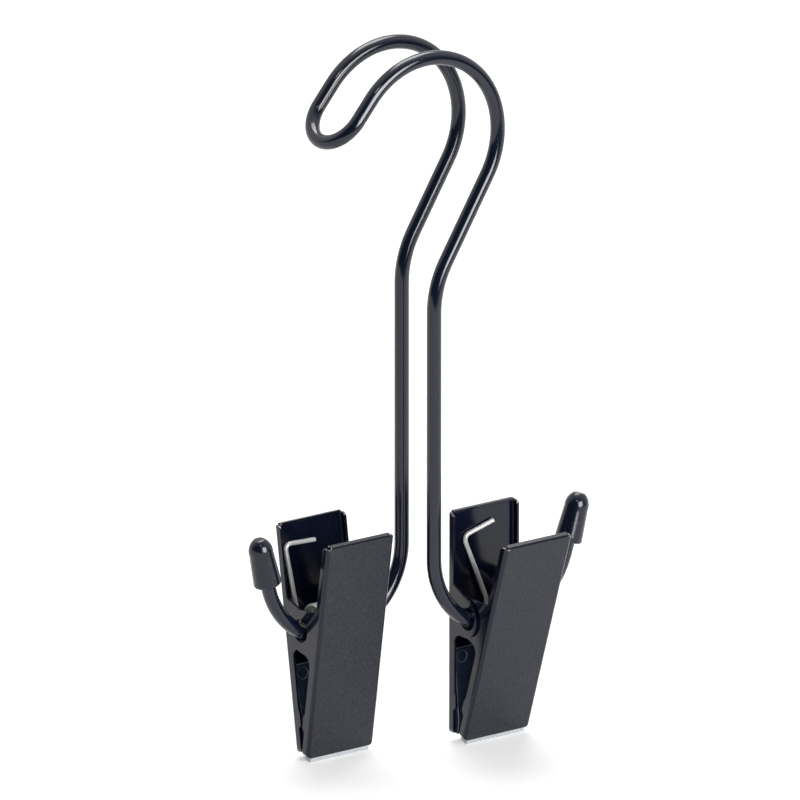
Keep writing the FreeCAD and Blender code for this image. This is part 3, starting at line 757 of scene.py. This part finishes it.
def clean_copy(node):
    """A copy of a CAD node's mesh with its loose triangles joined into whole faces."""
    shape = bmesh.new()
    shape.from_mesh(frame["nodes"][node].data)
    bmesh.ops.remove_doubles(shape, verts=shape.verts, dist=WELD_DISTANCE)
    bmesh.ops.dissolve_limit(shape, angle_limit=FLAT_ANGLE, verts=shape.verts, edges=shape.edges)
    mesh = bpy.data.meshes.new(node)
    shape.to_mesh(mesh)
    shape.free()
    return mesh


def rounded_copy(name, node, edge_round, *finishes):
    """A copy of a CAD node with rounded edges, as a plain mesh. The last finish goes on the edges."""
    piece = new_object(name, clean_copy(node))
    for finish in finishes:
        piece.data.materials.append(finish)
    shade_smooth(piece.data)
    bevel = piece.modifiers.new("edge_round", "BEVEL")
    bevel.width = edge_round
    bevel.segments = 2
    bevel.limit_method = "ANGLE"
    bevel.angle_limit = SHARP_ANGLE
    bevel.use_clamp_overlap = False
    bevel.miter_outer = "MITER_ARC"
    bevel.material = len(finishes) - 1
    weighted = piece.modifiers.new("flat_faces", "WEIGHTED_NORMAL")
    weighted.keep_sharp = True
    mesh = plain_mesh(piece)
    piece.modifiers.clear()
    piece.data = mesh
    mesh.name = name
    return piece


def clip_turn(clip, plate):
    return Matrix.Rotation(plate.right_swing if clip == "right" else 0, 3, "X")


def plate_turn(clip, side, plate):
    return clip_turn(clip, plate) @ Matrix.Rotation(-side * plate.lean, 3, "X")


def mark_plate(mesh, outward, hinge, up):
    """Marks the outer face for its satin finish and the lip's corners for their worn spots."""
    face = mesh.attributes.new("outer_face", "FLOAT", "FACE")
    reach = max((vertex.co - hinge).dot(outward) for vertex in mesh.vertices)
    values = []
    for polygon in mesh.polygons:
        on_face = polygon.normal.dot(outward) > FACE_STRAIGHTNESS
        near = (polygon.center - hinge).dot(outward) > reach - FACE_DEPTH
        values.append(1.0 if on_face and near else 0.0)
    face.data.foreach_set("value", values)
    corner = mesh.attributes.new("lip_corner", "FLOAT", "FACE")
    top = max((vertex.co - hinge).dot(up) for vertex in mesh.vertices)
    half = max(abs(vertex.co.x - hinge.x) for vertex in mesh.vertices)
    marks = []
    for polygon in mesh.polygons:
        below = top - (polygon.center - hinge).dot(up)
        beside = half - abs(polygon.center.x - hinge.x)
        small = polygon.area < CHIP_AREA
        marks.append(1.0 if small and below < CHIP_HEIGHT and beside < CHIP_WIDTH else 0.0)
    corner.data.foreach_set("value", marks)


class HANGER_OT_plates(bpy.types.Operator):
    """Makes the four pressed plates, with edges rounded by their lacquer"""
    bl_idname = "hanger.plates"
    bl_label = "Pressed Plates"

    def execute(self, context):
        plate = context.scene.hanger_plate
        finish = black_plate_finish(plate.colour, plate.satin)
        for clip in CLIPS:
            hinge = HINGES[f"{clip}_clip_swing"]
            for end, side in ENDS:
                node = f"{clip}_{end}_plate"
                piece = rounded_copy(f"{clip}_{end}_steel", node, plate.edge_round, finish)
                turn = plate_turn(clip, side, plate)
                mark_plate(piece.data, turn @ (Y * side), hinge, turn @ Z)
                settle(piece, f"{clip}_{end}", "black_plate", node)
        return {"FINISHED"}


def mark_lip(mesh, hinge, up, height):
    """Marks the faces along a pad's lower edge, which get the painted lip light."""
    heights = [(vertex.co - hinge).dot(up) for vertex in mesh.vertices]
    top = min(heights) + height
    lip = mesh.attributes.new("pad_lip", "FLOAT", "FACE")
    lip.data.foreach_set("value", [float((face.center - hinge).dot(up) < top) for face in mesh.polygons])


class HANGER_OT_pads(bpy.types.Operator):
    """Makes the four clear pads in the jaws"""
    bl_idname = "hanger.pads"
    bl_label = "Clear Pads"

    def execute(self, context):
        pad, plate = context.scene.hanger_pad, context.scene.hanger_plate
        # The second finish goes on the rounded edges; its paler colour is a painted highlight.
        finishes = [clear_pad_finish("clear_pad_plastic", pad.colour, pad),
                    clear_pad_finish("clear_pad_painted_edges", pad.painted_edge_highlight, pad)]
        for clip in CLIPS:
            hinge = HINGES[f"{clip}_clip_swing"]
            for end, side in ENDS:
                node = f"{clip}_{end}_pad"
                piece = rounded_copy(f"{clip}_{end}_clear_pad", node, pad.edge_round, *finishes)
                mark_lip(piece.data, hinge, plate_turn(clip, side, plate) @ Z, pad.lip_height)
                settle(piece, f"{clip}_{end}", "clear_pad", node)
        return {"FINISHED"}


def spring_leg(spring, clip, lean, x, side):
    """A leg in its clip's frame from its free end to the coil, and the angle at which it meets the coil.

    Side is 1 for the leg on the rear plate and -1 for the one on the front plate.
    """
    shift, rise = getattr(spring, f"{clip}_shift"), getattr(spring, f"{clip}_rise")
    height, coil = getattr(spring, f"{clip}_height"), spring.coil_radius

    def spot(out, up, along=0.0):
        return Vector((x + along, side * (out * math.cos(lean) + up * math.sin(lean)),
                       up * math.cos(lean) - out * math.sin(lean)))

    touch = math.atan2(height, spring.wall) - math.acos(coil / math.hypot(spring.wall, height))
    cosine, sine = math.cos(touch), math.sin(touch)
    meeting = spot(coil * cosine, coil * sine)
    leg_foot = spot(coil * cosine - spring.foot_rise * sine, coil * sine + spring.foot_rise * cosine)
    meeting_way = Vector((0, side * meeting.z, -side * meeting.y)).normalized()
    tip = spot(spring.wall, height + rise, shift + spring.end_length)
    corner = spot(spring.wall, height, shift)
    back, ahead = (tip - corner).normalized(), (leg_foot - corner).normalized()
    trim = spring.corner_radius / math.tan(back.angle(ahead) / 2)
    into, out = corner + back * trim, corner + ahead * trim
    points = [tip, into] + arc(into, corner, out) + [leg_foot]
    points += biarc(leg_foot, (leg_foot - out).normalized(), meeting, meeting_way)
    return points, math.atan2(meeting.z, side * meeting.y)


class HANGER_OT_springs(bpy.types.Operator):
    """Makes the torsion springs: two stiff legs and a coil between the plates"""
    bl_idname = "hanger.springs"
    bl_label = "Torsion Springs"

    def execute(self, context):
        spring, plate = context.scene.hanger_spring, context.scene.hanger_plate
        finish = zinc_spring_finish(spring.colour)
        radius = spring.wire / 2
        for clip in CLIPS:
            hinge = HINGES[f"{clip}_clip_swing"]
            turned = Matrix.Translation(hinge) @ clip_turn(clip, plate).to_4x4()
            start_x = getattr(spring, f"{clip}_start")
            rear_leg, angle = spring_leg(spring, clip, plate.lean, start_x, 1)
            sweep = FULL_TURN * spring.turns + math.pi + 2 * angle
            end_x = start_x + spring.pitch * sweep / FULL_TURN
            front_leg, _ = spring_leg(spring, clip, plate.lean, end_x, -1)
            count = spring.turns * COIL_STEPS_A_TURN
            coil = [rear_leg[-1]]
            for number in range(1, count):
                share = number / count
                now = angle - sweep * share
                coil.append(Vector((start_x + (end_x - start_x) * share,
                                    spring.coil_radius * math.cos(now), spring.coil_radius * math.sin(now))))
            coil.append(front_leg[-1])
            for part, points, body in (("rear_leg", rear_leg, f"{clip}_rear"), ("coil", coil, None),
                                       ("front_leg", front_leg, f"{clip}_front")):
                line = [turned @ point for point in points]
                piece = rod(f"{clip}_spring_{part}", line, radius, SPRING_SIDES, finish)
                if body:
                    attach(piece, body)
                else:
                    hinge + X * (start_x + radius)
                    hinge + X * (end_x - radius)
                    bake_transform(piece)
                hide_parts(f"{clip}_spring")
        return {"FINISHED"}


def soft_lamp(name, place, target, width, height, power, lights):
    """A soft lamp that faces the target. Where it lights nothing, only mirrors show it, as a white card."""
    lamp = bpy.data.lights.new(name, "AREA")
    lamp.shape = "RECTANGLE"
    lamp.size, lamp.size_y = width, height
    lamp.energy = power
    holder = new_object(name, lamp)
    holder.location = place
    holder.rotation_mode = "QUATERNION"
    holder.rotation_quaternion = (target - place).to_track_quat("-Z", "Y")
    holder.visible_diffuse = lights


def floor_finish(stage):
    """A pale floor that is lit as any surface, and looks white where it is seen or mirrored."""
    material = bpy.data.materials.new("studio_floor")
    nodes = Nodes(material)
    seen = rays_that_see(nodes)
    lit = nodes.add("ShaderNodeBsdfDiffuse", None, {"Color": opaque(stage.floor_colour)})
    flat = nodes.place((1, 1, 0))
    away = nodes.add("ShaderNodeVectorMath", {"operation": "LENGTH"}, {0: flat}, output="Value")
    strength = seen * (stage.floor_glow + away.step(0.35, 1.4) * stage.far_glow)
    glow = nodes.add("ShaderNodeEmission", None, {"Color": (1, 1, 1, 1), "Strength": strength})
    nodes.surface(nodes.add("ShaderNodeAddShader", None, {0: lit, 1: glow}))
    return material


def rays_that_see(nodes):
    """1 on the rays that look at a thing, mirror it or see it through glass, and 0 on the others."""
    path = nodes.add("ShaderNodeLightPath", output="Is Camera Ray")
    mirrored = nodes.add("ShaderNodeLightPath", output="Is Glossy Ray")
    through = nodes.add("ShaderNodeLightPath", output="Is Transmission Ray")
    return path.highest(mirrored).highest(through)


def studio_world(stage, away):
    """An even light all round, white where it is seen. Mirrors show a white backdrop and a dark room."""
    world = bpy.context.scene.world or bpy.data.worlds.new("studio")
    bpy.context.scene.world = world
    nodes = Nodes(world)
    way = nodes.add("ShaderNodeTexCoord", output="Generated")
    settings = {"operation": "DOT_PRODUCT"}
    behind = nodes.add("ShaderNodeVectorMath", settings, {0: way, 1: away}, output="Value")
    mirrored = nodes.add("ShaderNodeLightPath", output="Is Glossy Ray")
    seen = rays_that_see(nodes)
    reflected = stage.room + behind.step(-0.25, 0.35) * (1 - stage.room)
    strength = (1 - seen) * stage.ambient + (seen - mirrored).highest(0.0) + mirrored * reflected
    back = nodes.add("ShaderNodeBackground", None, {"Color": (1, 1, 1, 1), "Strength": strength})
    nodes.surface(back, "ShaderNodeOutputWorld")


class HANGER_OT_stage(bpy.types.Operator):
    """Sets up the floor, the soft studio light and the camera"""
    bl_idname = "hanger.stage"
    bl_label = "Studio"

    def execute(self, context):
        stage = context.scene.hanger_stage
        half = stage.floor_size / 2
        mesh = bpy.data.meshes.new("studio_floor")
        corners = [(-half, -stage.floor_front), (half, -stage.floor_front), (half, half), (-half, half)]
        mesh.from_pydata([(x, y, CAD_LOW.z) for x, y in corners], [], [(0, 1, 2, 3)])
        mesh.materials.append(floor_finish(stage))
        new_object("studio_floor", mesh)
        level, turn = stage.elevation, stage.azimuth
        back = Vector((math.sin(turn) * math.cos(level), -math.cos(turn) * math.cos(level), math.sin(level)))
        target = Vector(stage.target)
        studio_world(stage, tuple(Vector((-back.x, -back.y, 0.5)).normalized()))
        for name, (place, width, height, power, lights) in LAMPS.items():
            soft_lamp(name, target + Vector(place), target, width, height, power, lights)
        lens = bpy.data.cameras.new("photo_camera")
        lens.lens = stage.lens
        lens.clip_end = 100
        camera = new_object("photo_camera", lens)
        camera.location = target + back * stage.distance
        camera.rotation_mode = "QUATERNION"
        camera.rotation_quaternion = (-back).to_track_quat("-Z", "Y")
        context.scene.camera = camera
        context.scene.view_settings.view_transform = "Standard"
        return {"FINISHED"}


class HANGER_PT_panel(bpy.types.Panel):
    """Lists the pieces of the hanger and their settings"""
    bl_idname = "HANGER_PT_panel"
    bl_label = "Clip Hanger"
    bl_space_type = "VIEW_3D"
    bl_region_type = "UI"
    bl_category = "Hanger"

    def draw(self, context):
        for maker in OPERATORS:
            self.layout.operator(maker.bl_idname)
        for name, group in SETTINGS.items():
            box = self.layout.box()
            for setting in group.__annotations__:
                box.prop(getattr(context.scene, name), setting)


OPERATORS = (
    HANGER_OT_wire,
    HANGER_OT_caps,
    HANGER_OT_plates,
    HANGER_OT_pads,
    HANGER_OT_springs,
    HANGER_OT_stage,
)


def register():
    for made in (*SETTINGS.values(), *OPERATORS, HANGER_PT_panel):
        bpy.utils.register_class(made)
    for name, group in SETTINGS.items():
        setattr(bpy.types.Scene, name, bpy.props.PointerProperty(type=group))


def unregister():
    for name in SETTINGS:
        delattr(bpy.types.Scene, name)
    for made in reversed((*SETTINGS.values(), *OPERATORS, HANGER_PT_panel)):
        bpy.utils.unregister_class(made)


def main():
    register()
    bpy.ops.hanger.stage()
    bpy.ops.hanger.wire()
    bpy.ops.hanger.caps()
    bpy.ops.hanger.plates()
    bpy.ops.hanger.pads()
    bpy.ops.hanger.springs()


if __name__ == "__main__":
    main()
